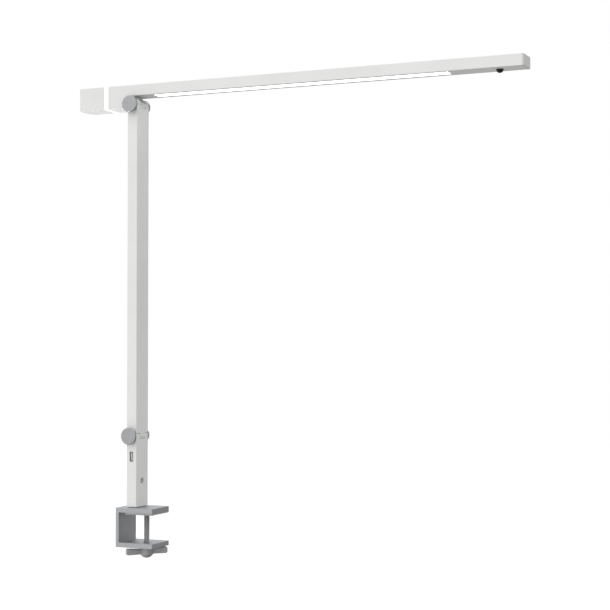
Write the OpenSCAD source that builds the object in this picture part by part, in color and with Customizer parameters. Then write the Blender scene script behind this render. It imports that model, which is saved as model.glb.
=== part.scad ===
// Swing arm desk lamp: a desk clamp, a short post that swivels on it, a long arm and a slim LED head.
// Millimetres, +Z up. The origin is on the swivel axis, in the plane of the desk top that the clamp grips.
// The head points along +X. Both hinges turn about Y.

/* [Desk clamp] */
// Thickest desk that the jaws take
clamp_open = 36.1; // [25:0.1:60]
// Thickness of each jaw
jaw_t = 6.2; // [5:0.1:10]
// Thickness of the clamp's back wall
wall_t = 4.6; // [3:0.1:10]
// Width of the clamp along the desk edge
clamp_w = 44; // [34:1:60]
// From the swivel axis to the free end of the jaws
clamp_reach = 34.8; // [28:0.1:60]
// From the swivel axis to the outside of the back wall
clamp_back = 19.1; // [15:0.1:30]
// Thickness of the pad under the upper jaw
pad_t = 2.4; // [1:0.1:3]
// From the swivel axis back to the pad's rear edge
pad_back = 4.7; // [0:0.1:8]

/* [Clamp screw] */
// Diameter of the clamp screw
screw_d = 7.6; // [6:0.1:10]
// From the swivel axis to the screw's axis
screw_x = 14.5; // [12:0.1:20]
// Gap between the screw's tip and the pad when the screw is right in
tip_gap = 2.2; // [2.1:0.1:5]
// Diameter of the handle's hub
hub_d = 16.4; // [14:0.1:24]
// Radius of the dome under the hub
dome_r = 9.7; // [9:0.1:14]
// Distance between the outer ends of the two wings
wing_span = 56; // [44:1:70]
// Height of a wing at its outer end
wing_h = 8.6; // [6:0.1:11]
// Thickness of a wing
wing_t = 5; // [3:0.1:7]
// Angle of the wings from the head's direction, seen from above
wing_angle = 50; // [0:1:180]

/* [Post and arm] */
// Thickness of the rectangular tube, along X
sec_t = 14.6; // [12:0.1:20]
// Width of the rectangular tube, along Y
sec_w = 30; // [25:0.5:40]
// Wall thickness of the tube
tube_wall = 1.8; // [1.2:0.1:2.4]
// Outside corner radius of the tube and of the head
corner_r = 0.8; // [0.3:0.1:1.2]
// Height of the lower hinge axis above the desk
base_h = 100.9; // [82:0.1:140]
// Distance between the two hinge axes
arm_len = 430; // [250:1:600]

/* [Swivel] */
// Diameter of the swivel spindle
spindle_d = 10; // [8:0.1:10.5]
// Thickness of the washer between the post and the clamp
swivel_washer_t = 0.8; // [0.5:0.1:2]

/* [Hinges] */
// Width of the middle tongue
tongue_w = 13; // [10:0.1:16]
// Thickness of each friction washer
washer_t = 0.4; // [0.3:0.1:1]
// Gap between a round knuckle and the hollow shoulder that faces it
relief = 0.9; // [0.5:0.1:1.2]
// Diameter of the hinge pin
pin_d = 6; // [4:0.1:7.5]
// From the upper hinge axis to the rounded end of the fork's ears
ear_r = 9.3; // [8:0.1:9.8]
// Diameter of the round knob in front of each hinge
knob_d = 22; // [18:0.1:27]
// Height of the knob, from the tube's face to the knob's front
knob_h = 8.6; // [7:0.1:11]
// Thickness of the knob's disc
knob_rim_t = 2.6; // [2:0.1:4]
// Diameter of the round cap behind each hinge
cap_d = 17.6; // [15:0.1:23]
// Height of the cap
cap_h = 1.7; // [1.6:0.1:4]

/* [Head] */
// From the upper hinge axis to the head's tip
head_len = 522.5; // [430:0.5:640]
// Height of the slim part of the head
head_h = 14.4; // [12:0.1:20]
// Width of the head
head_w = 30; // [25:0.5:40]
// Wall thickness of the head's channel
head_wall = 1.6; // [1.2:0.1:2.2]
// From the upper hinge axis up to the head's underside
head_lift = 11.5; // [11:0.1:15]
// From the upper hinge axis down to the underside of the tall rear section
rear_drop = 4.5; // [3:0.1:5.5]
// From the upper hinge axis back to the end of the tall rear section
rear_len = 37; // [30:0.5:50]
// From the upper hinge axis to the start of the light strip
strip_start = 28.5; // [24:0.5:60]
// From the head's tip back to the end of the light strip
strip_tip_gap = 94.5; // [60:0.5:200]
// Width of the light strip
strip_w = 13.8; // [11:0.1:17]
// From the head's front face to the light strip
strip_margin = 6.4; // [3:0.1:8]
// Distance between the light-emitting diodes
led_pitch = 10; // [8:0.5:20]
// Radius of the sensor's dome
sensor_r = 4.4; // [3:0.1:6]
// From the head's tip to the sensor's axis
sensor_back = 32.7; // [26:0.1:50]

/* [Touch block] */
// Thickness of the white ring between the head and the block
ring_t = 5.2; // [3:0.1:8]
// Length of the block at the back of the head
block_len = 38; // [25:0.5:60]
// Wall thickness of the block
block_wall = 2; // [1.2:0.1:3]

/* [Sockets] */
// Inside width of the charging socket, standing upright
usb_w = 12.5; // [12:0.1:14]
// Inside height of the charging socket, across the tube
usb_t = 5.1; // [4.9:0.1:6]
// Depth of the charging socket
usb_depth = 14; // [10:0.5:18]
// Outside diameter of the power inlet
inlet_d = 9.2; // [8:0.1:11]
// Bore of the power inlet
inlet_bore = 5.8; // [5.5:0.1:6.5]
// Diameter of the pin in the power inlet
inlet_pin_d = 2; // [1.6:0.1:2.5]
// Height of the power inlet's axis above the lower end of the post
inlet_up = 33.2; // [28:0.1:40]

/* [Hidden] */
$fn = 96;
run_gap = 0.05;      // radial clearance of a pin or screw that turns in its bore
slip = 0.1;          // clearance between pieces that are pushed together
eps = 1;             // how far a cutter runs past the face that it cuts
face_gap = 0.2;      // clearance between a hinge cover and the face that turns behind it
end_gap = 1;         // room left beyond the end of a board or a wire inside its tube

jaw_z0 = pad_t;
jaw_z1 = pad_t + jaw_t;
base_z0 = jaw_z1 + swivel_washer_t;
hinge1_z = base_h;
hinge2_z = base_h + arm_len;

knuckle_r = sec_t / 2;
hollow_r = knuckle_r + relief;
slot_w = tongue_w + 2 * (washer_t + run_gap);
neck = hollow_r + 2;          // from a hinge axis to the end of the tube beside it
plug_depth = 8.8;             // how far an insert goes into its tube
tube_in_t = sec_t - 2 * tube_wall;
tube_in_w = sec_w - 2 * tube_wall;

retainer_t = 1.2;
retainer_screw_h = 1.5;
retainer_screw_d = 4;
retainer_screw_len = 10;      // how far the screw goes into the spindle
recess_depth = retainer_t + retainer_screw_h + 2 * slip;
retainer_d = spindle_d + 3;
spindle_z0 = jaw_z0 + recess_depth - slip;
swivel_plug_h = 12;
spindle_play = 0.5;           // clearance of the retainer in its recess

handle_gap = 0.7;             // from the lower jaw to the handle when the screw is right in
hub_neck_h = 4.2;             // from the handle's top face to the middle of its domed hub
handle_top = -clamp_open - jaw_t - handle_gap;
hub_z = handle_top - hub_neck_h;
screw_z0 = hub_z - dome_r / 2;

usb_skin = 0.3;
usb_clear = 1.2;              // from the charging socket up to the insert above it
usb_z = hinge1_z - neck - plug_depth - usb_clear - usb_skin - usb_w / 2;
inlet_z = base_z0 + inlet_up;
inlet_depth = 8.8;
inlet_floor = sec_t / 2 - inlet_depth;
inlet_root_d = inlet_pin_d + 1;
board_t = 1.2;
board_x = -usb_t / 2 - usb_skin;
board_w = tube_in_w - 2 * end_gap;
board_z0 = base_z0 + swivel_plug_h + end_gap;
board_z1 = hinge1_z - neck - plug_depth - end_gap;

tip_up_limit = 22;            // the head's rear is cut free for this much upward tilt, in degrees
head_z0 = hinge2_z + head_lift;
head_z1 = head_z0 + head_h;
rear_z0 = hinge2_z - rear_drop;
rear_h = head_z1 - rear_z0;
rear_end = -2.2;              // where the tall rear section meets the slim channel
cap_len = 2.5;
cap_spigot_len = 6;
spigot_len = 16;
channel_in_w = head_w - 2 * head_wall;
channel_in_h = head_h - 2 * head_wall;
strip_end = head_len - strip_tip_gap;
strip_y0 = -head_w / 2 + strip_margin;
strip_y = strip_y0 + strip_w / 2;
led_board_w = 12;
led_board_t = 1.2;
led_board_inset = 2;          // from the end of the window to the end of the board
led_size = [3.5, 2.8, 0.8];
ledge = 0.8;                  // how far the diffuser's flange reaches past the window's edge
sensor_x = head_len - sensor_back;
lens_top = head_z0 + head_wall + 1.4;
wire_d = 4;
cavity_wall = 3;
block_x1 = -rear_len - ring_t;
block_x0 = block_x1 - block_len;
cavity_front = -16;           // the front end of the hollow in the tall rear section

// A rectangle with true round corners, centred on the origin.
module rounded_rect(w, h, r) {
    square([w - 2 * r, h], center = true);
    square([w, h - 2 * r], center = true);
    for (x = [-1, 1], y = [-1, 1]) translate([x * (w / 2 - r), y * (h / 2 - r)]) circle(r);
}

// A rectangle given by its two corners.
module box2(x0, y0, x1, y1) {
    translate([x0, y0]) square([x1 - x0, y1 - y0]);
}

// A box given by its two corners.
module box3(lo, hi) {
    translate(lo) cube(hi - lo);
}

// Turns an outline in X and Z into a solid of the given width across Y, centred on y.
module across(width, y = 0) {
    translate([0, y, 0]) rotate([90, 0, 0]) linear_extrude(width, center = true) children();
}

// Turns an outline in Y and Z into a solid that runs along X from x0 to x1.
module along_x(x0, x1) {
    translate([x0, 0, 0]) rotate([90, 0, 90]) linear_extrude(x1 - x0) children();
}

// A cylinder along X, Y or Z between two stations.
module rod_x(d, x0, x1) { translate([x0, 0, 0]) rotate([0, 90, 0]) cylinder(h = x1 - x0, d = d); }
module rod_y(d, y0, y1) { translate([0, y1, 0]) rotate([90, 0, 0]) cylinder(h = y1 - y0, d = d); }
module rod_z(d, z0, z1) { translate([0, 0, z0]) cylinder(h = z1 - z0, d = d); }

// The solid section of the post and the arm, between two heights.
module post_bar(z0, z1) {
    translate([0, 0, z0]) linear_extrude(z1 - z0) rounded_rect(sec_t, sec_w, corner_r);
}

// The part of an insert that slides into the tube.
module tube_plug(z0, z1) {
    translate([0, 0, z0]) linear_extrude(z1 - z0)
        square([tube_in_t - 2 * slip, tube_in_w - 2 * slip], center = true);
}

// A length of rectangular tube.
module post_tube(z0, z1) {
    difference() {
        post_bar(z0, z1);
        translate([0, 0, z0 - eps]) linear_extrude(z1 - z0 + 2 * eps)
            square([tube_in_t, tube_in_w], center = true);
    }
}

// A fork whose two round ears stand on the hinge axis at the origin and whose stem points down.
module fork(end_r, open_left) {
    difference() {
        union() {
            intersection() {
                across(sec_w) { box2(-knuckle_r, -neck, knuckle_r, 0); circle(end_r); }
                post_bar(-neck, end_r);
            }
            tube_plug(-neck - plug_depth, -neck);
        }
        across(slot_w) {
            circle(hollow_r);
            box2(-hollow_r, 0, hollow_r, end_r + eps);
            if (open_left) box2(-hollow_r, -hollow_r, 0, 0);
        }
        rod_y(pin_d + 2 * run_gap, -sec_w, sec_w);
    }
}

// The pin through a hinge. It is held in the knob at the front and in the cap at the back.
module hinge_pin(z) {
    translate([0, 0, z]) rod_y(pin_d, -sec_w / 2 - knob_h / 2, sec_w / 2 + cap_h / 2);
}

// A round disc with a chamfered rim on a narrower boss, lying on +Z with its boss down.
module round_cover(d, h, rim_t, chamfer, pin_depth) {
    boss_r = knuckle_r - relief;
    difference() {
        rotate_extrude() polygon([[0, 0], [boss_r, 0], [boss_r, h - rim_t], [d / 2, h - rim_t],
            [d / 2, h - chamfer], [d / 2 - chamfer, h], [0, h]]);
        rod_z(pin_d + 2 * run_gap, -eps, pin_depth + slip);
    }
}

module hinge_knob(z) {
    chamfer = 0.9;
    translate([0, -sec_w / 2, z]) rotate([90, 0, 0])
        round_cover(knob_d, knob_h, knob_rim_t, chamfer, knob_h / 2);
}

module hinge_cap(z) {
    chamfer = 0.5;
    translate([0, sec_w / 2, z]) rotate([-90, 0, 0])
        round_cover(cap_d, cap_h, cap_h - face_gap, chamfer, cap_h / 2);
}

// The two thin friction washers, one on each side of the tongue.
module hinge_washers(z) {
    washer_d = 2 * knuckle_r - 1;
    for (side = [-1, 1]) translate([0, side * (tongue_w + slot_w) / 4, z]) difference() {
        rod_y(washer_d, -washer_t / 2, washer_t / 2);
        rod_y(pin_d + 4 * run_gap, -washer_t, washer_t);
    }
}

// Clamp: an extruded C with a swivel bore in the upper jaw and a threaded hole in the lower jaw.
module clamp_bracket() {
    color("silver") difference() {
        across(clamp_w) difference() {
            box2(-clamp_back, -clamp_open - jaw_t, clamp_reach, jaw_z1);
            box2(-clamp_back + wall_t, -clamp_open, clamp_reach + eps, jaw_z0);
        }
        rod_z(spindle_d + 2 * run_gap, jaw_z0 - eps, jaw_z1 + eps);
        rod_z(retainer_d + 2 * spindle_play, jaw_z0 - eps, jaw_z0 + recess_depth);
        translate([screw_x, 0, 0])
            rod_z(screw_d + 2 * run_gap, -clamp_open - jaw_t - eps, -clamp_open + eps);
    }
}

module clamp_pad() {
    color("gray") box3([-pad_back, -clamp_w / 2, 0], [clamp_reach, clamp_w / 2, pad_t]);
}

module swivel_washer() {
    color("dimgray") difference() {
        rod_z(sec_t - 1, jaw_z1, base_z0);
        rod_z(spindle_d + 4 * run_gap, jaw_z1 - eps, base_z0 + eps);
    }
}

// Clamp screw: a plain shank with a chamfered tip, held in the handle below the lower jaw.
module clamp_screw() {
    tip_chamfer = 1;
    color("gray") translate([screw_x, 0, 0]) rotate_extrude()
        polygon([[0, screw_z0], [screw_d / 2, screw_z0],
            [screw_d / 2, -tip_gap - tip_chamfer], [screw_d / 2 - tip_chamfer, -tip_gap], [0, -tip_gap]]);
}

// Wing handle: a domed hub and two flat wings that grow taller towards their round ends.
module wing_outline() {
    tip_r = 2.4;
    root_low = 4.7;
    root_high = 1.5;
    wing_drop = 0.8;
    for (side = [0, 1]) mirror([side, 0]) translate([0, hub_z - wing_drop]) {
        polygon([[0, wing_drop - root_low], [wing_span / 2 - tip_r, -wing_h / 2],
            [wing_span / 2 - tip_r, wing_h / 2], [0, wing_drop + root_high]]);
        translate([wing_span / 2 - tip_r, 0]) {
            box2(0, -wing_h / 2 + tip_r, tip_r, wing_h / 2 - tip_r);
            for (y = [-1, 1]) translate([0, y * (wing_h / 2 - tip_r)]) circle(tip_r);
        }
    }
}
module wing_handle() {
    color("gray") translate([screw_x, 0, 0]) difference() {
        union() {
            rotate([0, 0, wing_angle]) across(wing_t) wing_outline();
            rotate_extrude() intersection() {
                union() {
                    translate([0, hub_z]) circle(dome_r);
                    box2(0, hub_z, hub_d / 2, handle_top);
                }
                box2(0, hub_z - dome_r - eps, hub_d / 2, handle_top);
            }
        }
        rod_z(screw_d + 2 * run_gap, screw_z0 - slip, handle_top + eps);
    }
}

// Swivel: a spindle on a plug in the foot of the post, held under the jaw by a washer and a screw.
module swivel_spindle() {
    color("gray") difference() {
        union() {
            tube_plug(base_z0, base_z0 + swivel_plug_h);
            rod_z(spindle_d, spindle_z0, base_z0 + slip);
        }
        rod_z(retainer_screw_d + 2 * run_gap, spindle_z0 - eps, spindle_z0 + retainer_screw_len + slip);
    }
}

module swivel_retainer() {
    color("silver") difference() {
        rod_z(retainer_d, spindle_z0 - retainer_t, spindle_z0);
        rod_z(retainer_screw_d + 2 * run_gap, spindle_z0 - retainer_t - eps, spindle_z0 + eps);
    }
}

module retainer_screw() {
    socket_d = 2.5;
    socket_depth = 0.8;
    screw_top = spindle_z0 - retainer_t;
    screw_foot = screw_top - retainer_screw_h;
    color("silver") difference() {
        union() {
            rod_z(retainer_screw_d, screw_foot + socket_depth, spindle_z0 + retainer_screw_len);
            rod_z(2 * retainer_screw_d, screw_foot, screw_top);
        }
        translate([0, 0, screw_foot - eps]) cylinder(h = eps + socket_depth, d = socket_d, $fn = 6);
    }
}

// Post: a short length of tube with openings for the charging socket and the power inlet.
usb_corner_r = 0.5;
module usb_outline(grow) {
    rounded_rect(usb_t + 2 * grow, usb_w + 2 * grow, usb_corner_r + grow);
}
module base_tube() {
    color("white") difference() {
        post_tube(base_z0, hinge1_z - neck);
        translate([0, -sec_w / 2, usb_z]) across(2 * tube_wall + 2 * eps) usb_outline(usb_skin + slip);
        translate([0, 0, inlet_z]) rod_x(inlet_d + 2 * slip, tube_in_t / 2 - eps, sec_t / 2 + eps);
    }
}

module base_fork() {
    color("white") translate([0, 0, hinge1_z]) fork(knuckle_r, false);
}

module usb_shell() {
    color("silver") translate([0, 0, usb_z]) difference() {
        across(usb_depth, -sec_w / 2 + usb_depth / 2) usb_outline(usb_skin);
        across(usb_depth, -sec_w / 2 + usb_depth / 2 - usb_skin) usb_outline(0);
    }
}

// The tongue carries the contacts. A block at the back of the shell holds it.
module usb_tongue() {
    tongue_t = 1.8;
    tongue_w = 11.1;
    side_gap = 0.6;
    block_t = 2;
    mouth_gap = 3;
    x0 = -usb_t / 2 + side_gap;
    y1 = -sec_w / 2 + usb_depth - usb_skin;
    color("whitesmoke") translate([0, 0, usb_z]) {
        box3([x0, y1 - block_t, -tongue_w / 2], [usb_t / 2 - side_gap, y1, tongue_w / 2]);
        box3([x0, y1 - usb_depth + mouth_gap, -tongue_w / 2],
            [x0 + tongue_t, y1 - block_t / 2, tongue_w / 2]);
    }
}

module inlet_body() {
    color("dimgray") translate([0, 0, inlet_z]) difference() {
        rod_x(inlet_d, board_x, sec_t / 2);
        rod_x(inlet_bore, inlet_floor, sec_t / 2 + eps);
        rod_x(inlet_root_d + 2 * run_gap, board_x - eps, inlet_floor + eps);
    }
}

// The pin stands on a wider root that is held in the floor of the inlet.
module inlet_pin() {
    pin_inset = 1;
    color("silver") translate([0, 0, inlet_z]) {
        rod_x(inlet_root_d, board_x, inlet_floor);
        rod_x(inlet_pin_d, inlet_floor, sec_t / 2 - pin_inset);
    }
}

// Driver: the circuit board in the post, with the choke, the capacitor and the control chip.
module driver_board() {
    color("darkgreen") box3([board_x - board_t, -board_w / 2, board_z0],
        [board_x, board_w / 2, board_z1]);
}

module driver_parts() {
    choke_d = 8;
    choke_h = 4.5;
    choke_z = (usb_z + inlet_z) / 2;
    capacitor_d = 6.3;
    capacitor_h = 5.5;
    capacitor_z = inlet_z - (inlet_d + capacitor_d) / 2 - end_gap;
    chip = [1.5, 4, 5];
    color("black") {
        translate([0, board_w / 2 - choke_d / 2, choke_z]) rod_x(choke_d, board_x, board_x + choke_h);
        translate([0, -board_w / 4, capacitor_z]) rod_x(capacitor_d, board_x, board_x + capacitor_h);
        translate([board_x, 0, board_z0 + end_gap]) cube(chip);
    }
}

module lower_pin() { color("silver") hinge_pin(hinge1_z); }
module lower_knob() { color("silver") hinge_knob(hinge1_z); }
module lower_cap() { color("silver") hinge_cap(hinge1_z); }
module lower_washers() { color("white") hinge_washers(hinge1_z); }

// Arm: a long tube with a tongue in its lower end and a fork in its upper end.
module arm_tube() {
    color("white") post_tube(hinge1_z + neck, hinge2_z - neck);
}

module arm_tongue() {
    color("white") translate([0, 0, hinge1_z]) difference() {
        union() {
            intersection() {
                post_bar(-knuckle_r, neck);
                union() {
                    across(sec_w) difference() {
                        box2(-knuckle_r, 0, knuckle_r, neck);
                        circle(hollow_r);
                    }
                    across(tongue_w) { box2(-knuckle_r, 0, knuckle_r, neck); circle(knuckle_r); }
                }
            }
            tube_plug(neck, neck + plug_depth);
        }
        rod_y(pin_d + 2 * run_gap, -sec_w, sec_w);
    }
}

module arm_fork() {
    color("white") translate([0, 0, hinge2_z]) fork(ear_r, true);
}

module arm_wire() {
    inset = neck + plug_depth + end_gap;
    color("dimgray") rod_z(wire_d, hinge1_z + inset, hinge2_z - inset);
}

module upper_pin() { color("silver") hinge_pin(hinge2_z); }
module upper_knob() { color("silver") hinge_knob(hinge2_z); }
module upper_cap() { color("silver") hinge_cap(hinge2_z); }
module upper_washers() { color("white") hinge_washers(hinge2_z); }

// The outline in Y and Z of the slim head, and of the tall rear section.
module head_outline() {
    translate([0, head_z0 + head_h / 2]) rounded_rect(head_w, head_h, corner_r);
}
module rear_outline() {
    translate([0, rear_z0 + rear_h / 2]) rounded_rect(head_w, rear_h, corner_r);
}

// Head channel: a hollow bar with a window for the light strip and a hole for the sensor.
module head_channel() {
    color("white") difference() {
        along_x(rear_end, head_len - cap_len) head_outline();
        along_x(rear_end - eps, head_len - cap_len + eps)
            translate([0, head_z0 + head_h / 2]) square([channel_in_w, channel_in_h], center = true);
        box3([strip_start, strip_y0, head_z0 - eps],
            [strip_end, strip_y0 + strip_w, head_z0 + head_wall + eps]);
        translate([sensor_x, 0, 0]) rod_z(2 * sensor_r + 2 * slip, head_z0 - eps, head_z0 + head_wall + eps);
    }
}

// What the arm sweeps while the head tilts, as an outline around the hinge axis.
module arm_sweep() {
    reach = rear_drop + hollow_r + knob_d;
    side = hollow_r - 0.2;
    circle(ear_r + relief);
    rotate(-tip_up_limit) box2(-side, -reach, hollow_r, 0);
}

// Rear housing: the tall block behind the hinge, with its tongue and a spigot for the channel.
module head_housing() {
    color("white") difference() {
        union() {
            difference() {
                along_x(-rear_len, rear_end) rear_outline();
                translate([0, 0, hinge2_z]) for (side = [-1, 1])
                    across(head_w / 2, side * (tongue_w / 2 + head_w / 4)) arm_sweep();
            }
            translate([0, 0, hinge2_z]) across(tongue_w) {
                circle(knuckle_r);
                box2(cavity_front, -rear_drop, rear_end, head_lift);
            }
            along_x(rear_end - eps, rear_end + spigot_len) translate([0, head_z0 + head_h / 2])
                square([channel_in_w - 2 * slip, channel_in_h - 2 * slip], center = true);
        }
        box3([-rear_len - eps, -head_w / 2 + cavity_wall, rear_z0 + cavity_wall],
            [cavity_front, head_w / 2 - cavity_wall, head_z1 - cavity_wall]);
        translate([0, 0, hinge2_z]) rod_y(pin_d + 2 * run_gap, -head_w, head_w);
        translate([0, 0, head_z0 + head_h / 2])
            rod_x(wire_d, cavity_front - eps, rear_end + spigot_len + eps);
    }
}

// Light strip: a board with a row of diodes under the channel's roof, and the diffuser below it.
board_roof = head_z1 - head_wall;
module led_board() {
    color("white") box3(
        [strip_start + led_board_inset, strip_y - led_board_w / 2, board_roof - led_board_t],
        [strip_end - led_board_inset, strip_y + led_board_w / 2, board_roof]);
}

module leds() {
    row_len = strip_end - strip_start - 2 * led_board_inset - led_size.x;
    gaps = floor(row_len / led_pitch);
    first = (strip_start + strip_end - gaps * led_pitch) / 2;
    color("lightyellow") for (i = [0 : gaps])
        translate([first + i * led_pitch, strip_y, board_roof - led_board_t - led_size.z / 2])
            cube(led_size, center = true);
}

module diffuser() {
    flange_z1 = head_z0 + head_wall + 1;
    color("white") {
        box3([strip_start + slip, strip_y0 + slip, head_z0],
            [strip_end - slip, strip_y0 + strip_w - slip, flange_z1]);
        box3([strip_start - ledge, strip_y0 - ledge, head_z0 + head_wall],
            [strip_end + ledge, strip_y0 + strip_w + ledge, flange_z1]);
    }
}

// End cap: a plate that closes the head's tip, with a spigot inside the channel.
module end_cap() {
    color("white") {
        along_x(head_len - cap_len, head_len) head_outline();
        along_x(head_len - cap_len - cap_spigot_len, head_len - cap_len) translate([0, head_z0 + head_h / 2])
            square([channel_in_w - 2 * slip, channel_in_h - 2 * slip], center = true);
    }
}

// Sensor: a dark dome that looks down from the head's tip, with its small board.
module sensor_lens() {
    flange_r = sensor_r + 1;
    color("black") translate([sensor_x, 0, 0]) rotate_extrude() {
        intersection() {
            translate([0, head_z0]) circle(sensor_r);
            box2(0, head_z0 - sensor_r, sensor_r, head_z0);
        }
        box2(0, head_z0, sensor_r, lens_top);
        box2(0, head_z0 + head_wall, flange_r, lens_top);
    }
}

module sensor_board() {
    half_len = 9;
    half_w = 8;
    color("darkgreen") box3([sensor_x - half_len, -half_w, lens_top],
        [sensor_x + half_len, half_w, lens_top + board_t]);
}

module head_wire() {
    past_start = 6;
    color("dimgray") translate([0, 0, head_z0 + head_h / 2])
        rod_x(wire_d - 4 * run_gap, cavity_front + eps, strip_start + past_start);
}

// White ring: a translucent plate between the head and the touch block, with a low plug on each side.
module ring_plug(x0, x1, wall) {
    along_x(x0, x1) translate([0, rear_z0 + rear_h / 2])
        square([head_w - 2 * (wall + slip), rear_h - 2 * (wall + slip)], center = true);
}
module white_ring() {
    plug_len = 3;
    color("white") {
        along_x(block_x1, -rear_len) rear_outline();
        ring_plug(-rear_len, -rear_len + plug_len, cavity_wall);
        ring_plug(block_x1 - plug_len, block_x1, block_wall);
    }
}

// Touch block: a thin metal box that a hand brushes to dim the light, with its board inside.
module touch_block() {
    color("white") difference() {
        along_x(block_x0, block_x1) rear_outline();
        box3([block_x0 + block_wall, -head_w / 2 + block_wall, rear_z0 + block_wall],
            [block_x1 + eps, head_w / 2 - block_wall, head_z1 - block_wall]);
    }
}

module touch_board() {
    x0 = block_x0 + block_wall;
    inset = block_wall + 2 * end_gap;
    color("darkgreen") box3([x0, -head_w / 2 + inset, rear_z0 + inset],
        [x0 + board_t, head_w / 2 - inset, head_z1 - inset]);
}

clamp_bracket();
clamp_pad();
swivel_washer();
clamp_screw();
wing_handle();
swivel_spindle();
swivel_retainer();
retainer_screw();
base_tube();
base_fork();
usb_shell();
usb_tongue();
inlet_body();
inlet_pin();
driver_board();
driver_parts();
lower_pin();
lower_knob();
lower_cap();
lower_washers();
arm_tube();
arm_tongue();
arm_fork();
arm_wire();
upper_pin();
upper_knob();
upper_cap();
upper_washers();
head_channel();
head_housing();
led_board();
leds();
diffuser();
end_cap();
sensor_lens();
sensor_board();
head_wire();
white_ring();
touch_block();
touch_board();
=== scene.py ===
import math

import bmesh
import bpy
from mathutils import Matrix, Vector


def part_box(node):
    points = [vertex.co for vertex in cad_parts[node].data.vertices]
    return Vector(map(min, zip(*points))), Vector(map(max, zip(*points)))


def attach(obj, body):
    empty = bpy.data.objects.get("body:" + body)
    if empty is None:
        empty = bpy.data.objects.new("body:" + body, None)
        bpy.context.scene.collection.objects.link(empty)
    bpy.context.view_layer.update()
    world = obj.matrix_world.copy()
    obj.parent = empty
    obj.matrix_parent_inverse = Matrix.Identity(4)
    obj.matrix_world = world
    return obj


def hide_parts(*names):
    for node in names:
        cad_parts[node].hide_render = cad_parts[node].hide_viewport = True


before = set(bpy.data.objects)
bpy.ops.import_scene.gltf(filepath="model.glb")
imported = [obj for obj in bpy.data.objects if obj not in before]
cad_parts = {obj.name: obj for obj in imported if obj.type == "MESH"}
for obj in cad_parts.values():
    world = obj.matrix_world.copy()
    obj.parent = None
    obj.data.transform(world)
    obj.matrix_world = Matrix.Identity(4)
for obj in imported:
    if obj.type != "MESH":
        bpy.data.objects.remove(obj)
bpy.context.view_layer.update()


# ---------------------------------------------------------------- Clamp bracket
# The C of the desk clamp is cut from an aluminium extrusion, drilled for the swivel and the screw,
# deburred, and sprayed with a silver metallic paint. It is the fixed part that holds all the rest.
MM = 0.001
# Edges that turn by more than SHARP are eased, and faces that turn by less than FLAT are joined.
SHARP = math.radians(30)
FLAT = math.radians(0.3)
# Corners closer than MERGE are one corner, and a corner within TOUCH of a plane lies in it.
MERGE = 0.001 * MM
TOUCH = 0.01 * MM


def colour(code):
    """A colour written as an sRGB hex value, as linear red, green, blue and alpha."""
    parts = [int(code[i:i + 2], 16) / 255 for i in (0, 2, 4)]
    return [c / 12.92 if c <= 0.04045 else ((c + 0.055) / 1.055) ** 2.4 for c in parts] + [1.0]


def add(tree, kind, values=None, **settings):
    """Adds a node. settings are its own properties. values are its inputs, each a plain value or a socket."""
    made = tree.nodes.new(kind)
    for key, value in settings.items():
        setattr(made, key, value)
    for key, value in (values or {}).items():
        if isinstance(value, bpy.types.NodeSocket):
            tree.links.new(value, made.inputs[key])
        else:
            made.inputs[key].default_value = value
    return made


def surface(name):
    """A new material with its Principled shader linked to the output.
    Returns it with its tree, its shader and its Object coordinates."""
    material = bpy.data.materials.new(name)
    material.use_nodes = True
    tree = material.node_tree
    tree.nodes.clear()
    shader = add(tree, "ShaderNodeBsdfPrincipled")
    add(tree, "ShaderNodeOutputMaterial", {"Surface": shader.outputs["BSDF"]})
    place = add(tree, "ShaderNodeTexCoord").outputs["Object"]
    return material, tree, shader, place


def wander(tree, place, size, low, high, detail=2.0, stretch=(1, 1, 1)):
    """A value between low and high that wanders over the surface, in spots of about size metres."""
    # Raw noise seldom leaves this range.
    noise_low = 0.3
    noise_high = 0.7
    scaled = add(tree, "ShaderNodeMapping", {"Vector": place, "Scale": stretch}).outputs["Vector"]
    noise = add(tree, "ShaderNodeTexNoise", {"Vector": scaled, "Scale": 1 / size, "Detail": detail})
    ranged = add(tree, "ShaderNodeMapRange", {"Value": noise.outputs["Fac"], "From Min": noise_low,
                                              "From Max": noise_high, "To Min": low, "To Max": high})
    return ranged.outputs["Result"]


def two_tone(tree, share, first, second):
    """The colour between two hex colours at the given share.
    The Mix node's sockets go by number, because those for colours share their names with others."""
    share_socket = 0
    first_socket = 6
    second_socket = 7
    mixed_socket = 2
    mix = add(tree, "ShaderNodeMix", data_type="RGBA",
              values={share_socket: share, first_socket: colour(first), second_socket: colour(second)})
    return mix.outputs[mixed_socket]


def texture_bump(tree, shader, height, depth):
    """Links a height of 0 to 1 to the shader as a bump of the given depth in metres."""
    bump = add(tree, "ShaderNodeBump", {"Height": height, "Distance": depth, "Strength": 1.0})
    tree.links.new(bump.outputs["Normal"], shader.inputs["Normal"])


def metallic_paint(name, dark, light, roughness):
    """Silver metallic paint, as sprayed on furniture fittings: aluminium flakes in a clear binder.
    The eye gets a soft grey that turns darker to the side, with a fine sparkle."""
    flake = 0.35 * MM
    patch = 9 * MM
    relief = 0.006 * MM
    material, tree, shader, place = surface(name)
    sparkle = wander(tree, place, flake, 0.0, 1.0, detail=0.0)
    cloud = wander(tree, place, patch, -0.04, 0.04)
    shader.inputs["Metallic"].default_value = 1.0
    fine = wander(tree, place, flake, roughness - 0.07, roughness + 0.07)
    rough = add(tree, "ShaderNodeMath", {0: fine, 1: cloud}, operation="ADD")
    tree.links.new(two_tone(tree, sparkle, dark, light), shader.inputs["Base Color"])
    tree.links.new(rough.outputs["Value"], shader.inputs["Roughness"])
    texture_bump(tree, shader, sparkle, relief)
    return material


def in_plane(edge, planes):
    """True if both ends of an edge lie in one of the planes, each given as an axis number and a place."""
    return any(all(abs(v.co[axis] - place) < TOUCH for v in edge.verts) for axis, place in planes)


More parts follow.
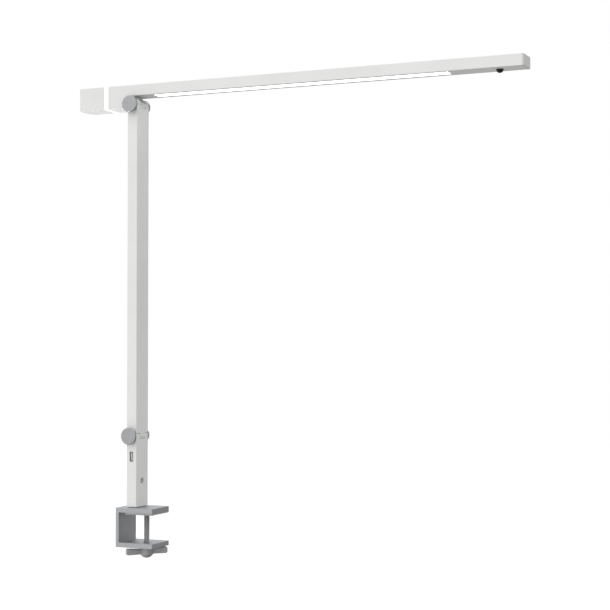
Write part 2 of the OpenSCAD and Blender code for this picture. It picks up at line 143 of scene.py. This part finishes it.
def settled(piece):
    """Turns a piece's modifiers into plain mesh."""
    graph = bpy.context.evaluated_depsgraph_get()
    finished = piece.evaluated_get(graph)
    mesh = bpy.data.meshes.new_from_object(finished, preserve_all_data_layers=True, depsgraph=graph)
    piece.modifiers.clear()
    piece.data = mesh
    return piece


def new_piece(name, shape, material, smooth=True):
    """Turns a bmesh into a piece with its own mesh, one material, and normals that favour its large faces."""
    mesh = bpy.data.meshes.new(name)
    shape.to_mesh(mesh)
    shape.free()
    piece = bpy.data.objects.new(name, mesh)
    bpy.context.scene.collection.objects.link(piece)
    mesh.materials.append(material)
    if smooth:
        mesh.shade_smooth()
        mesh.set_sharp_from_angle(angle=SHARP)
        piece.modifiers.new("weighted", "WEIGHTED_NORMAL").keep_sharp = True
        settled(piece)
    return piece


def eased(name, node, width, material, seams=(), segments=2):
    """A copy of a CAD node as one closed skin with its sharp edges rounded, but not those in a seam plane."""
    shape = bmesh.new()
    shape.from_mesh(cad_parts[node].data)
    bmesh.ops.remove_doubles(shape, verts=shape.verts, dist=MERGE)
    bmesh.ops.dissolve_limit(shape, angle_limit=FLAT, verts=shape.verts, edges=shape.edges)
    edges = [e for e in shape.edges
             if e.is_manifold and e.calc_face_angle() > SHARP and not in_plane(e, seams)]
    bmesh.ops.bevel(shape, geom=edges, offset=width, offset_type="OFFSET", segments=segments, profile=0.5,
                    affect="EDGES", clamp_overlap=True, loop_slide=True)
    return new_piece(name, shape, material)


def stand_in(piece, body, slot, *nodes):
    """Makes a piece ride on a body and stand for CAD nodes. Its slot is not used."""
    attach(piece, body)
    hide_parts(*nodes)


silver_paint = metallic_paint("silver_metallic_paint", "a2a3a5", "b0b1b3", 0.46)
bracket_edge = 0.35 * MM
bracket = eased("c_bracket", "clamp_bracket", bracket_edge, silver_paint, segments=3)
stand_in(bracket, "clamp", "clamp_metal", "clamp_bracket")


# ---------------------------------------------------------------- Clamp pad
# The pad under the upper jaw is a sheet of grey thermoplastic rubber, moulded with fine ribs that
# grip the desk top, and glued to the jaw.
def moulded_rubber(name, dark, light):
    """Matt thermoplastic rubber, moulded against a spark-eroded tool: soft, with no clear highlight."""
    grain = 0.5 * MM
    patch = 3 * MM
    relief = 0.02 * MM
    material, tree, shader, place = surface(name)
    grit = wander(tree, place, grain, 0.0, 1.0)
    tree.links.new(two_tone(tree, grit, dark, light), shader.inputs["Base Color"])
    tree.links.new(wander(tree, place, patch, 0.75, 0.9), shader.inputs["Roughness"])
    texture_bump(tree, shader, grit, relief)
    return material


def build_tree(name, sockets):
    """A new Geometry Nodes tree with named inputs, each a name, a socket type and a default."""
    tree = bpy.data.node_groups.new(name, "GeometryNodeTree")
    tree.interface.new_socket("Geometry", in_out="OUTPUT", socket_type="NodeSocketGeometry")
    for label, kind, default in sockets:
        tree.interface.new_socket(label, in_out="INPUT", socket_type=kind).default_value = default
    return tree, add(tree, "NodeGroupInput").outputs


def row_of(tree, inputs, item, material, turn=(0, 0, 0)):
    """Ends a tree with copies of an item along its line, as one skin with one material.
    The line is given by the tree's own inputs Count, Start and Step."""
    line = add(tree, "GeometryNodeMeshLine", {"Count": inputs["Count"], "Start Location": inputs["Start"],
                                              "Offset": inputs["Step"]})
    row = add(tree, "GeometryNodeInstanceOnPoints", {"Points": line.outputs["Mesh"], "Instance": item,
                                                     "Rotation": turn})
    whole = add(tree, "GeometryNodeRealizeInstances", {"Geometry": row.outputs["Instances"]})
    skin = add(tree, "GeometryNodeSetMaterial", {"Geometry": whole.outputs["Geometry"], "Material": material})
    add(tree, "NodeGroupOutput", {"Geometry": skin.outputs["Geometry"]})


def grown(name, tree, values, material):
    """Runs a Geometry Nodes tree with the given inputs and returns the result as a plain piece."""
    piece = bpy.data.objects.new(name, bpy.data.meshes.new(name))
    bpy.context.scene.collection.objects.link(piece)
    modifier = piece.modifiers.new(name, "NODES")
    modifier.node_group = tree
    for socket in tree.interface.items_tree:
        if socket.in_out == "INPUT" and socket.name in values:
            modifier[socket.identifier] = values[socket.name]
    settled(piece)
    if not piece.data.materials:
        piece.data.materials.append(material)
    return piece


def merged(first, *others):
    """Joins other pieces' meshes into the first piece."""
    shape = bmesh.new()
    for piece in (first, *others):
        shape.from_mesh(piece.data)
    shape.to_mesh(first.data)
    shape.free()
    for piece in others:
        bpy.data.objects.remove(piece)
    return first


def add_box(shape, low, high):
    """Adds a box between two opposite corners to a shape."""
    for corner in bmesh.ops.create_cube(shape, size=1.0)["verts"]:
        corner.co = [(lo + hi) / 2 + side * (hi - lo) for lo, hi, side in zip(low, high, corner.co)]


rib_r = 0.45 * MM
rib_pitch = 2 * MM
rib_inset = 0.5 * MM
pad_edge = 0.3 * MM
pad_rubber = moulded_rubber("moulded_grey_rubber", "98999a", "a4a5a6")
pad_lo, pad_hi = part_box("clamp_pad")

rib_tree, rib_inputs = build_tree("pad_ribs", [
    ("Count", "NodeSocketInt", 10),
    ("Radius", "NodeSocketFloat", 0.001),
    ("Length", "NodeSocketFloat", 0.01),
    ("Start", "NodeSocketVector", (0, 0, 0)),
    ("Step", "NodeSocketVector", (0.002, 0, 0))])
rib_bar = add(rib_tree, "GeometryNodeMeshCylinder", {"Vertices": 16, "Radius": rib_inputs["Radius"],
                                                     "Depth": rib_inputs["Length"]})
row_of(rib_tree, rib_inputs, rib_bar.outputs["Mesh"], pad_rubber, turn=(math.pi / 2, 0, 0))

rib_count = int((pad_hi.x - pad_lo.x) / rib_pitch)
ribs = grown("pad_ribs", rib_tree, {
    "Count": rib_count,
    "Radius": rib_r,
    "Length": pad_hi.y - pad_lo.y - 2 * rib_inset,
    "Start": ((pad_lo.x + pad_hi.x - (rib_count - 1) * rib_pitch) / 2, 0, pad_lo.z + rib_r),
    "Step": (rib_pitch, 0, 0)}, pad_rubber)

sheet = bmesh.new()
add_box(sheet, (pad_lo.x, pad_lo.y, pad_lo.z + rib_r), pad_hi)
bmesh.ops.bevel(sheet, geom=sheet.edges[:], offset=pad_edge, segments=2, profile=0.5, affect="EDGES")
pad = merged(new_piece("rubber_pad", sheet, pad_rubber), ribs)
stand_in(pad, "clamp", "grip_rubber", "clamp_pad")


# ---------------------------------------------------------------- Clamp screw
# An M8 screw with a rolled thread, zinc plated, runs through the lower jaw and ends in a chamfer.
def zinc_plate(name, dark, light, roughness):
    """Bright zinc plating on rolled steel: cool grey metal with soft cloudy patches."""
    cloud = 4 * MM
    patch = 2 * MM
    grain = 0.4 * MM
    relief = 0.004 * MM
    material, tree, shader, place = surface(name)
    shader.inputs["Metallic"].default_value = 1.0
    tree.links.new(two_tone(tree, wander(tree, place, cloud, 0, 1), dark, light), shader.inputs["Base Color"])
    tree.links.new(wander(tree, place, patch, roughness - 0.06, roughness + 0.06), shader.inputs["Roughness"])
    texture_bump(tree, shader, wander(tree, place, grain, 0, 1), relief)
    return material


def threaded_rod(name, centre, z0, z1, crest_r, pitch, chamfer, material):
    """A closed rod with a true helical thread, flat at its foot and chamfered at its top.
    Its rings climb by one pitch a turn. The turns to spare at both ends are cut off. The profile is a
    zigzag made steeper and clipped, which leaves flats at the crest and at the root."""
    sides = 48
    steps = 8
    spare_turns = 2
    depth = 0.61 * pitch
    steepness = 1.3
    crest_share = 0.1
    least_r = crest_r / 4
    same_plane = 1e-8
    rows = (int((z1 - z0) / pitch) + 2 * spare_turns) * steps
    shape = bmesh.new()
    grid = []
    for row in range(rows):
        zigzag = abs(2 * (row % steps) / steps - 1)
        flank = min(max(steepness * zigzag - crest_share, 0), 1)
        ring = []
        for side in range(sides):
            turn = 2 * math.pi * side / sides
            z = z0 + pitch * (row / steps + side / sides - spare_turns)
            r = min(crest_r - depth * flank, max(crest_r - chamfer + z1 - z, least_r))
            ring.append(shape.verts.new((centre.x + r * math.cos(turn), centre.y + r * math.sin(turn), z)))
        grid.append(ring)
    # The last face of each turn joins the ring that is one pitch up.
    for row in range(rows - steps - 1):
        for side in range(sides):
            last = side == sides - 1
            right = 0 if last else side + 1
            joined = row + steps if last else row
            shape.faces.new((grid[row][side], grid[joined][right],
                             grid[joined + 1][right], grid[row + 1][side]))
    for height, outward in ((z0, -1), (z1, 1)):
        everything = shape.verts[:] + shape.edges[:] + shape.faces[:]
        bmesh.ops.bisect_plane(shape, geom=everything, clear_outer=True, plane_co=(0, 0, height),
                               plane_no=(0, 0, outward), dist=same_plane)
    bmesh.ops.delete(shape, geom=[v for v in shape.verts if not v.link_faces], context="VERTS")
    bmesh.ops.holes_fill(shape, edges=[e for e in shape.edges if e.is_boundary], sides=0)
    bmesh.ops.recalc_face_normals(shape, faces=shape.faces)
    return new_piece(name, shape, material)


thread_pitch = 1.25 * MM
tip_chamfer = 0.9 * MM
screw_lo, screw_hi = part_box("clamp_screw")
screw_axis = (screw_lo + screw_hi) / 2
zinc = zinc_plate("zinc_plated_steel", "b9b9bb", "c7c7c9", 0.5)
screw = threaded_rod("threaded_screw", screw_axis, screw_lo.z, screw_hi.z, (screw_hi.y - screw_lo.y) / 2,
                     thread_pitch, tip_chamfer, zinc)
stand_in(screw, "screw", "screw_steel", "clamp_screw")


# ---------------------------------------------------------------- Wing handle
# The handle is one zinc die casting: a domed hub and two wings that flow out of it. It is tumbled
# smooth, sprayed silver like the bracket, and pressed on the screw.
cast_grid = 0.35 * MM
cast_merge = 0.01 * MM
handle_paint = metallic_paint("silver_paint_on_casting", "acacae", "bababc", 0.68)
casting = bmesh.new()
casting.from_mesh(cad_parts["wing_handle"].data)
bmesh.ops.remove_doubles(casting, verts=casting.verts, dist=cast_merge)
handle = new_piece("wing_casting", casting, handle_paint, smooth=False)
remesh = handle.modifiers.new("cast", "REMESH")
remesh.mode = "VOXEL"
remesh.voxel_size = cast_grid
tumble = handle.modifiers.new("tumbled", "SMOOTH")
tumble.factor = 0.5
tumble.iterations = 14
settled(handle)
handle.data.shade_smooth()
stand_in(handle, "handle", "handle_metal", "wing_handle")


# ---------------------------------------------------------------- Swivel
# The post turns on a steel spindle. A black nylon washer keeps it off the clamp, and a retainer
# with a low socket screw holds it from below.
def moulded_plastic(name, dark, light, roughness):
    """Plastic from a fine-grained mould: an even, silky surface."""
    mottle = 1.5 * MM
    patch = 2 * MM
    grain = 0.25 * MM
    relief = 0.008 * MM
    material, tree, shader, place = surface(name)
    mottled = wander(tree, place, mottle, 0, 1)
    tree.links.new(two_tone(tree, mottled, dark, light), shader.inputs["Base Color"])
    tree.links.new(wander(tree, place, patch, roughness - 0.05, roughness + 0.08), shader.inputs["Roughness"])
    texture_bump(tree, shader, wander(tree, place, grain, 0, 1), relief)
    return material


def recoat(material, *nodes):
    """Gives CAD nodes that stay a better material."""
    for node in nodes:
        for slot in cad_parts[node].material_slots:
            slot.material = material


black_nylon = moulded_plastic("moulded_black_nylon", "1a1a1c", "232326", 0.5)
recoat(zinc, "swivel_spindle", "swivel_retainer", "retainer_screw")
recoat(black_nylon, "swivel_washer")


# ---------------------------------------------------------------- Post
# The post is a short length of rectangular aluminium tube, cut square, punched for the two sockets
# and powder coated white. An insert with the fork of the lower hinge closes its upper end.
def powder_coat(name, dark, light):
    """White polyester powder coat, baked on aluminium: satin, with a faint orange peel."""
    drift = 40 * MM
    patch = 6 * MM
    peel = 1.1 * MM
    relief = 0.004 * MM
    material, tree, shader, place = surface(name)
    tree.links.new(two_tone(tree, wander(tree, place, drift, 0, 1), dark, light), shader.inputs["Base Color"])
    tree.links.new(wander(tree, place, patch, 0.4, 0.5), shader.inputs["Roughness"])
    texture_bump(tree, shader, wander(tree, place, peel, 0, 1), relief)
    return material


# Two pieces meet flush in a seam plane, so their edges there stay sharp. A plane is an axis number
# and a place on that axis.
X = 0
Z = 2
coat_edge = 0.3 * MM
white_coat = powder_coat("white_powder_coat", "e0e0df", "e4e4e3")
post_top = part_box("base_tube")[1].z
post = eased("post_tube", "base_tube", coat_edge, white_coat, seams=[(Z, post_top)])
stand_in(post, "base", "white_paint", "base_tube")
lower_fork = eased("lower_fork", "base_fork", coat_edge, white_coat, seams=[(Z, post_top)])
stand_in(lower_fork, "base", "white_paint", "base_fork")


# ---------------------------------------------------------------- Charging socket
# A folded shell of nickel-plated steel stands upright in the front of the post. Its tongue is
# moulded in one with the block behind it, and carries four gold-plated contacts.
def plated_metal(name, dark, light, roughness):
    """Nickel or gold plating: fairly bright, with fine lines left from drawing the metal."""
    line = 0.2 * MM
    patch = 1 * MM
    relief = 0.003 * MM
    material, tree, shader, place = surface(name)
    shader.inputs["Metallic"].default_value = 1.0
    drawn = wander(tree, place, line, 0, 1, stretch=(1, 0.05, 1))
    tree.links.new(two_tone(tree, drawn, dark, light), shader.inputs["Base Color"])
    tree.links.new(wander(tree, place, patch, roughness - 0.05, roughness + 0.1), shader.inputs["Roughness"])
    texture_bump(tree, shader, drawn, relief)
    return material


nickel = plated_metal("nickel_plated_steel", "dddbd8", "e6e4e1", 0.42)
socket_white = moulded_plastic("moulded_white_plastic", "dcdcd9", "e4e4e1", 0.45)
shell_edge = 0.1 * MM
shell = eased("socket_shell", "usb_shell", shell_edge, nickel)
stand_in(shell, "base", "socket_metal", "usb_shell")
tongue_edge = 0.2 * MM
tongue = eased("socket_tongue", "usb_tongue", tongue_edge, socket_white)
stand_in(tongue, "base", "socket_plastic", "usb_tongue")

# The contacts are thin stamped strips on the face of the tongue that meets the plug. They end at the
# block behind it.
gold = plated_metal("gold_plated_contacts", "c9a456", "d9b86c", 0.25)
tongue_lo, tongue_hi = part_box("usb_tongue")
tongue_t = 1.8 * MM
block_t = 2 * MM
contact_t = 0.15 * MM
contact_w = 1 * MM
contact_inset = 1.2 * MM
contact_edge = 0.06 * MM
contact_offsets = (-3.5 * MM, -1 * MM, 1 * MM, 3.5 * MM)
contacts_shape = bmesh.new()
for offset in contact_offsets:
    add_box(contacts_shape,
            (tongue_lo.x + tongue_t - contact_t / 2, tongue_lo.y + contact_inset,
             (tongue_lo.z + tongue_hi.z - contact_w) / 2 + offset),
            (tongue_lo.x + tongue_t + contact_t / 2, tongue_hi.y - block_t,
             (tongue_lo.z + tongue_hi.z + contact_w) / 2 + offset))
bmesh.ops.bevel(contacts_shape, geom=contacts_shape.edges[:], offset=contact_edge, segments=2, profile=0.5,
                affect="EDGES")
contacts = new_piece("gold_contacts", contacts_shape, gold)
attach(contacts, "base")


# ---------------------------------------------------------------- Power inlet
# A round barrel inlet of grey nylon sits flush in the side of the post, with a nickel-plated pin.
grey_nylon = moulded_plastic("moulded_grey_nylon", "c4c4c3", "cbcbca", 0.5)
inlet_edge = 0.25 * MM
inlet = eased("inlet_barrel", "inlet_body", inlet_edge, grey_nylon)
stand_in(inlet, "base", "dark_polymer", "inlet_body")
recoat(nickel, "inlet_pin")


# ---------------------------------------------------------------- Driver
# The driver's board stands in the post behind the sockets. Green solder mask covers the copper.
def solder_mask(name, mask, trace):
    """Solder mask over copper: smooth and glossy, with tracks of another tone that rise a little."""
    island = 4.8 * MM
    track_end = 0.08
    mask_start = 0.12
    patch = 1 * MM
    track_rise = 0.02 * MM
    material, tree, shader, place = surface(name)
    cells = add(tree, "ShaderNodeTexVoronoi", {"Vector": place, "Scale": 1 / island},
                feature="DISTANCE_TO_EDGE")
    edge = add(tree, "ShaderNodeMapRange", {"Value": cells.outputs["Distance"], "From Min": track_end,
                                            "From Max": mask_start}).outputs["Result"]
    tree.links.new(two_tone(tree, edge, trace, mask), shader.inputs["Base Color"])
    tree.links.new(wander(tree, place, patch, 0.2, 0.3), shader.inputs["Roughness"])
    texture_bump(tree, shader, edge, -track_rise)
    return material


green_mask = solder_mask("green_solder_mask", "12502c", "1f6b3d")
recoat(green_mask, "driver_board", "sensor_board", "touch_board")
recoat(black_nylon, "driver_parts")


# ---------------------------------------------------------------- Hinges
# Each hinge has a fork and a tongue on a steel pin, with two thin washers for its friction. The pin
# ends in a turned knob in front and in a flatter cap behind. Each is a disc on a narrower boss. The
# knob is brushed and the cap is blasted before they are anodised.
def turned_aluminium(name, dark, light, roughness):
    """Turned aluminium, anodised: fine upright lines that stretch highlights, faint when it is rough."""
    line = 0.45 * MM
    relief = 0.005 * MM
    upright = (1, 1, 0.06)
    material, tree, shader, place = surface(name)
    shader.inputs["Metallic"].default_value = 1.0
    brushed = wander(tree, place, line, 0, 1, detail=1.0, stretch=upright)
    tree.links.new(two_tone(tree, brushed, dark, light), shader.inputs["Base Color"])
    tree.links.new(wander(tree, place, line, roughness - 0.08, roughness + 0.08, stretch=upright),
                   shader.inputs["Roughness"])
    texture_bump(tree, shader, brushed, relief)
    return material


def lathe(name, outline, centre, outward, material, sides=96):
    """Turns an outline of radius and height about Y. outward is the sign of Y that its height grows in."""
    shape = bmesh.new()
    rings = []
    for radius, height in outline:
        y = centre.y + outward * height
        if radius == 0:
            rings.append([shape.verts.new((centre.x, y, centre.z))] * sides)
            continue
        turns = [2 * math.pi * i / sides for i in range(sides)]
        rings.append([shape.verts.new((centre.x + radius * math.cos(t), y, centre.z + radius * math.sin(t)))
                      for t in turns])
    for ring, after in zip(rings, rings[1:]):
        for i in range(sides):
            corners = [ring[i], ring[(i + 1) % sides], after[(i + 1) % sides], after[i]]
            shape.faces.new(dict.fromkeys(corners))
    bmesh.ops.recalc_face_normals(shape, faces=shape.faces)
    return new_piece(name, shape, material)


def arc(centre_r, centre_h, radius, start, end, count):
    """Points of radius and height on an arc, with its angles in degrees from the outward radius."""
    angles = [math.radians(start + (end - start) * i / count) for i in range(count + 1)]
    return [(centre_r + radius * math.cos(a), centre_h + radius * math.sin(a)) for a in angles]


def cover(name, node, disc_t, round_r, outward, body, material):
    """A knob or cap: a disc with a rounded front edge, its back edge just broken, on a narrower boss."""
    lo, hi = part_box(node)
    rim_r = (hi.x - lo.x) / 2
    height = hi.y - lo.y
    back = height - disc_t
    foot = Vector(((lo.x + hi.x) / 2, lo.y if outward > 0 else hi.y, (lo.z + hi.z) / 2))
    broken = 0.2 * MM
    boss_r = 6.4 * MM
    outline = [(0, 0), (boss_r, 0), (boss_r, back)]
    outline += arc(rim_r - broken, back + broken, broken, -90, 0, count=3)
    outline += arc(rim_r - round_r, height - round_r, round_r, 0, 90, count=8)
    outline += [(rim_r / 2, height), (0, height)]
    piece = lathe(name, outline, foot, outward, material)
    stand_in(piece, body, "knob_metal", node)


anodised = turned_aluminium("turned_anodised_aluminium", "97989a", "a6a7a9", 0.34)
blasted = turned_aluminium("blasted_anodised_aluminium", "c3c4c6", "cfd0d2", 0.6)
knob_disc_t = 2.6 * MM
knob_round_r = 1.1 * MM
cap_disc_t = 1.5 * MM
cap_round_r = 0.6 * MM
for level, body in (("lower", "base"), ("upper", "arm")):
    cover(level + "_hinge_knob", level + "_knob", knob_disc_t, knob_round_r, -1, body, anodised)
    cover(level + "_hinge_cap", level + "_cap", cap_disc_t, cap_round_r, 1, body, blasted)
recoat(zinc, "lower_pin", "upper_pin")
recoat(black_nylon, "lower_washers", "upper_washers")


# ---------------------------------------------------------------- Arm
# The arm is the same tube as the post. Its lower insert ends in the tongue of the lower hinge, and
# its upper insert in the fork of the upper one.
tube_lo, tube_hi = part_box("arm_tube")
arm_seams = [(Z, tube_lo.z), (Z, tube_hi.z)]
for name, node in (("arm_long_tube", "arm_tube"), ("lower_tongue", "arm_tongue"), ("upper_fork", "arm_fork")):
    stand_in(eased(name, node, coat_edge, white_coat, seams=arm_seams), "arm", "white_paint", node)
grey_sheath = moulded_plastic("extruded_grey_sheath", "3c3c3f", "48484b", 0.5)
recoat(grey_sheath, "arm_wire", "head_wire")


# ---------------------------------------------------------------- Head
# A slim aluminium channel carries the light. The tall housing behind the hinge is cast with the
# tongue that the arm's fork holds. Both are powder coated. A moulded plate closes the channel's tip.
channel_lo, channel_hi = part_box("head_channel")
head_seams = [(X, channel_lo.x)]
housing = eased("hinge_housing", "head_housing", coat_edge, white_coat, seams=head_seams)
stand_in(housing, "head", "white_paint", "head_housing")
channel_seams = head_seams + [(X, channel_hi.x)]
channel = eased("light_channel", "head_channel", coat_edge, white_coat, seams=channel_seams)
stand_in(channel, "head", "white_paint", "head_channel")
# The tip plate's white is a little greyer than the coat's: painted shade for its end face, which faces away
# from the light.
tip_shaded_white = moulded_plastic("moulded_tip_painted_shade", "d1d1d0", "d5d5d4", 0.45)
tip_edge = 0.7 * MM
tip_plate = eased("tip_plate", "end_cap", tip_edge, tip_shaded_white, seams=[(X, channel_hi.x)], segments=3)
stand_in(tip_plate, "head", "white_paint", "end_cap")


# ---------------------------------------------------------------- Light strip
# White light-emitting diodes on an aluminium board shine through a strip of opal polycarbonate.
def lit_opal(name, hex_code, glow):
    """Plastic lit from inside: an even white glow with no visible source."""
    drift = 8 * MM
    patch = 1 * MM
    grain = 0.3 * MM
    relief = 0.003 * MM
    material, tree, shader, place = surface(name)
    shader.inputs["Base Color"].default_value = colour(hex_code)
    shader.inputs["Emission Strength"].default_value = glow
    tree.links.new(two_tone(tree, wander(tree, place, drift, 0, 1), "fbfbfa", "ffffff"),
                   shader.inputs["Emission Color"])
    tree.links.new(wander(tree, place, patch, 0.45, 0.6), shader.inputs["Roughness"])
    texture_bump(tree, shader, wander(tree, place, grain, 0, 1), relief)
    return material


lit_strip = lit_opal("opal_polycarbonate_lit", "f4f4f3", 4.0)
recoat(lit_strip, "diffuser")

# Each diode is a small case with a round window on its lower side.
phosphor = lit_opal("phosphor_resin", "f2dc86", 1.0)
package_lo, package_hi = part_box("leds")
package_pitch = 10 * MM
package_len = 3.5 * MM
window_r = 1.15 * MM
window_t = 0.12 * MM
case_t = package_hi.z - package_lo.z - window_t
led_tree, led_inputs = build_tree("led_packages", [
    ("Count", "NodeSocketInt", 10),
    ("Start", "NodeSocketVector", (0, 0, 0)),
    ("Step", "NodeSocketVector", (0.01, 0, 0)),
    ("Size", "NodeSocketVector", (0.003, 0.003, 0.001)),
    ("Window radius", "NodeSocketFloat", 0.001),
    ("Window height", "NodeSocketFloat", 0.0001),
    ("Window place", "NodeSocketVector", (0, 0, 0))])
led_case = add(led_tree, "GeometryNodeMeshCube", {"Size": led_inputs["Size"]})
led_window = add(led_tree, "GeometryNodeMeshCylinder", {"Vertices": 24, "Radius": led_inputs["Window radius"],
                                                        "Depth": led_inputs["Window height"]})
low_window = add(led_tree, "GeometryNodeTransform", {"Geometry": led_window.outputs["Mesh"],
                                                     "Translation": led_inputs["Window place"]})
one_led = add(led_tree, "GeometryNodeJoinGeometry")
led_tree.links.new(led_case.outputs["Mesh"], one_led.inputs["Geometry"])
led_tree.links.new(low_window.outputs["Geometry"], one_led.inputs["Geometry"])
row_of(led_tree, led_inputs, one_led.outputs["Geometry"], phosphor)

packages = grown("led_packages", led_tree, {
    "Count": round((package_hi.x - package_lo.x - package_len) / package_pitch) + 1,
    "Start": (package_lo.x + package_len / 2, (package_lo.y + package_hi.y) / 2, package_hi.z - case_t / 2),
    "Step": (package_pitch, 0, 0),
    "Size": (package_len, package_hi.y - package_lo.y, case_t),
    "Window radius": window_r,
    "Window height": window_t,
    "Window place": (0, 0, -(case_t + window_t) / 2)}, phosphor)
stand_in(packages, "head", "led_phosphor", "leds")
white_mask = solder_mask("white_solder_mask", "eeeeec", "e2e2df")
recoat(white_mask, "led_board")


# ---------------------------------------------------------------- Sensor
# A dome of black infra-red plastic looks down from the tip and switches the light.
def black_dome(name, hex_code):
    """Black infra-red acrylic from a satin mould: nearly black, with one small soft highlight."""
    patch = 2 * MM
    material, tree, shader, place = surface(name)
    shader.inputs["Base Color"].default_value = colour(hex_code)
    shader.inputs["Specular IOR Level"].default_value = 0.3
    tree.links.new(wander(tree, place, patch, 0.3, 0.4), shader.inputs["Roughness"])
    return material


black_acrylic = black_dome("black_infra_red_acrylic", "070708")
dome_edge = 0.15 * MM
dome = eased("dome_lens", "sensor_lens", dome_edge, black_acrylic)
stand_in(dome, "head", "sensor_black", "sensor_lens")


# ---------------------------------------------------------------- Ring and touch block
# A plate of opal acrylic keeps the touch block apart from the head. It glows softly, and the block
# behind it is a small powder-coated box.
lit_plate = lit_opal("opal_acrylic", "f4f4f3", 0.7)
ring_edge = 0.2 * MM
ring = eased("opal_plate", "white_ring", ring_edge, lit_plate)
stand_in(ring, "head", "opal_ring", "white_ring")
block_edge = 0.5 * MM
block = eased("touch_box", "touch_block", block_edge, white_coat)
stand_in(block, "head", "white_paint", "touch_block")


# ---------------------------------------------------------------- Studio
# The lamp hangs in soft, even studio light over a pale floor at the height that a desk stands on.
# The camera stands in front, to the right and below the head, and looks slightly upwards.
camera_place = Vector((0.9894, -1.6791, 0.2202))
camera_turn = math.radians(24.08)
camera_rise = math.radians(1.49)
camera = bpy.data.objects.new("camera", bpy.data.cameras.new("camera"))
camera.data.sensor_width = 36
camera.data.lens = 87.64
camera.location = camera_place
look = Vector((-math.sin(camera_turn) * math.cos(camera_rise),
               math.cos(camera_turn) * math.cos(camera_rise), math.sin(camera_rise)))
camera.rotation_euler = look.to_track_quat("-Z", "Y").to_euler()
bpy.context.scene.collection.objects.link(camera)
bpy.context.scene.camera = camera

# The room's light grows upwards, forwards and to the left; the camera sees plain white behind.
mean_light = 0.87
light_slope = (-0.3, -0.225, 0.48)
world = bpy.data.worlds.new("studio")
world.use_nodes = True
sky = world.node_tree
sky.nodes.clear()
towards = add(sky, "ShaderNodeTexCoord").outputs["Generated"]
slope = add(sky, "ShaderNodeVectorMath", {0: towards, 1: light_slope}, operation="DOT_PRODUCT")
level = add(sky, "ShaderNodeMath", {0: slope.outputs["Value"], 1: mean_light}, operation="ADD")
room = add(sky, "ShaderNodeBackground", {"Color": colour("ffffff"), "Strength": level.outputs["Value"]})
backdrop = add(sky, "ShaderNodeBackground", {"Color": colour("ffffff"), "Strength": 1.0})
seen = add(sky, "ShaderNodeLightPath").outputs["Is Camera Ray"]
both = add(sky, "ShaderNodeMixShader", {0: seen, 1: room.outputs["Background"],
                                        2: backdrop.outputs["Background"]})
add(sky, "ShaderNodeOutputWorld", {"Surface": both.outputs["Shader"]})
bpy.context.scene.world = world
bpy.context.scene.view_settings.view_transform = "Standard"

# A low panel on the left lights the underside of the touch block.
panel_place = Vector((-0.55, 0.03, -0.25))
panel_aim = Vector((-0.06, 0.0, 0.53))
panel = bpy.data.objects.new("low_panel", bpy.data.lights.new("low_panel", "AREA"))
panel.data.shape = "RECTANGLE"
panel.data.size = 0.05
panel.data.size_y = 0.25
panel.data.energy = 0.19
panel.data.spread = math.radians(36)
panel.location = panel_place
panel.rotation_euler = (panel_aim - panel_place).to_track_quat("-Z", "Y").to_euler()
bpy.context.scene.collection.objects.link(panel)

# The camera sees the floor, but the floor sends no light back to the lamp.
floor_r = 12
floor_z = -0.74
floor_patch = 0.3
floor_shape = bmesh.new()
bmesh.ops.create_circle(floor_shape, cap_ends=True, segments=96, radius=floor_r)
bmesh.ops.translate(floor_shape, verts=floor_shape.verts, vec=(0, 0, floor_z))
floor_paint, floor_tree, floor_shader, floor_place = surface("pale_floor")
floor_shader.inputs["Roughness"].default_value = 0.9
floor_tone = wander(floor_tree, floor_place, floor_patch, 0, 1)
floor_tree.links.new(two_tone(floor_tree, floor_tone, "f6f6f5", "fafaf9"), floor_shader.inputs["Base Color"])
floor = new_piece("floor", floor_shape, floor_paint, smooth=False)
floor.visible_diffuse = False
floor.visible_glossy = False
